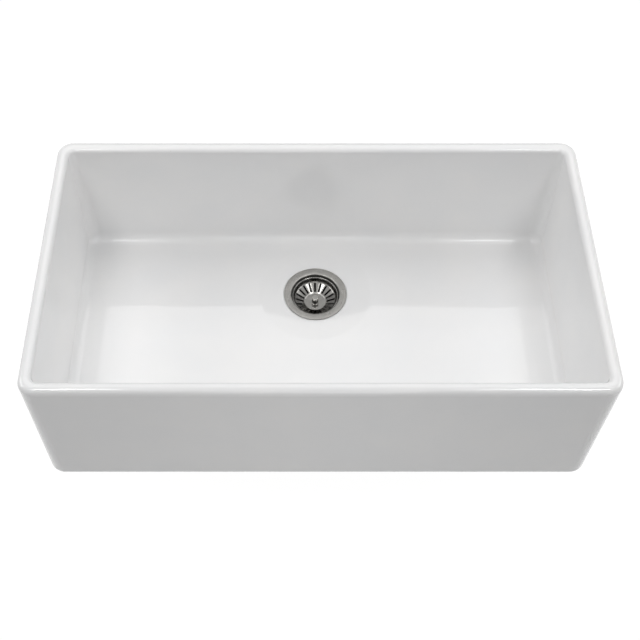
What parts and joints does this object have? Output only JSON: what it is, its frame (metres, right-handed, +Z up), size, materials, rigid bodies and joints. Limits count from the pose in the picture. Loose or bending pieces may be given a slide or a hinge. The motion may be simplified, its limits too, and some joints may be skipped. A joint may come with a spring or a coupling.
{
  "type": "farmhouse apron front sink",
  "caption": "Rectangular single-bowl apron-front kitchen sink in white glazed fireclay, with a stainless basket strainer, pull-up stopper and tailpiece.",
  "frame": {"origin": "centre of the sink's underside, the face that the cabinet's rails carry", "axes": "+X to the right as seen from the apron, +Y to the back wall, +Z up; the apron faces -Y"},
  "size_m": [0.8378, 0.4698, 0.4045],
  "materials": {
    "fireclay_glaze": "glossy white glaze over fireclay",
    "stainless_satin": "satin stainless steel",
    "stainless_polished": "polished stainless steel",
    "chromed_brass": "bright chrome plate on brass",
    "bare_brass": "turned, slightly dulled",
    "cast_zinc": "die-cast zinc, as cast",
    "black_rubber": "matt moulded rubber",
    "foam_seal": "soft closed-cell seal",
    "pressed_fibre": "pressed vulcanised fibre",
    "white_plastic": "polyethylene"
  },
  "bodies": {
    "sink": {"sink_body": "fireclay_glaze", "strainer_body": "stainless_satin", "flange_seal": "foam_seal", "rubber_washer": "black_rubber", "friction_washer": "pressed_fibre", "locknut": "cast_zinc", "outlet_neck": "bare_brass", "outlet_cross": "stainless_satin", "tailpiece_washer": "white_plastic", "tailpiece": "chromed_brass", "coupling_nut": "chromed_brass"},
    "basket": {"basket": "stainless_polished", "basket_bush": "stainless_polished", "bush_washer": "stainless_satin"},
    "plunger": {"knob": "stainless_polished", "stem": "stainless_satin", "grip_ring": "black_rubber", "stopper_plate": "stainless_satin", "stopper": "black_rubber", "stopper_washer": "stainless_satin", "stopper_nut": "bare_brass"}
  },
  "joints": [
    {"name": "basket_lift", "type": "slide", "parent": "sink", "child": "basket", "axis": [0, 0, 1], "range_m": [0, 0.3]},
    {"name": "plunger_slide", "type": "slide", "parent": "basket", "child": "plunger", "axis": [0, 0, 1], "range_m": [0, 0.0112]}
  ]
}
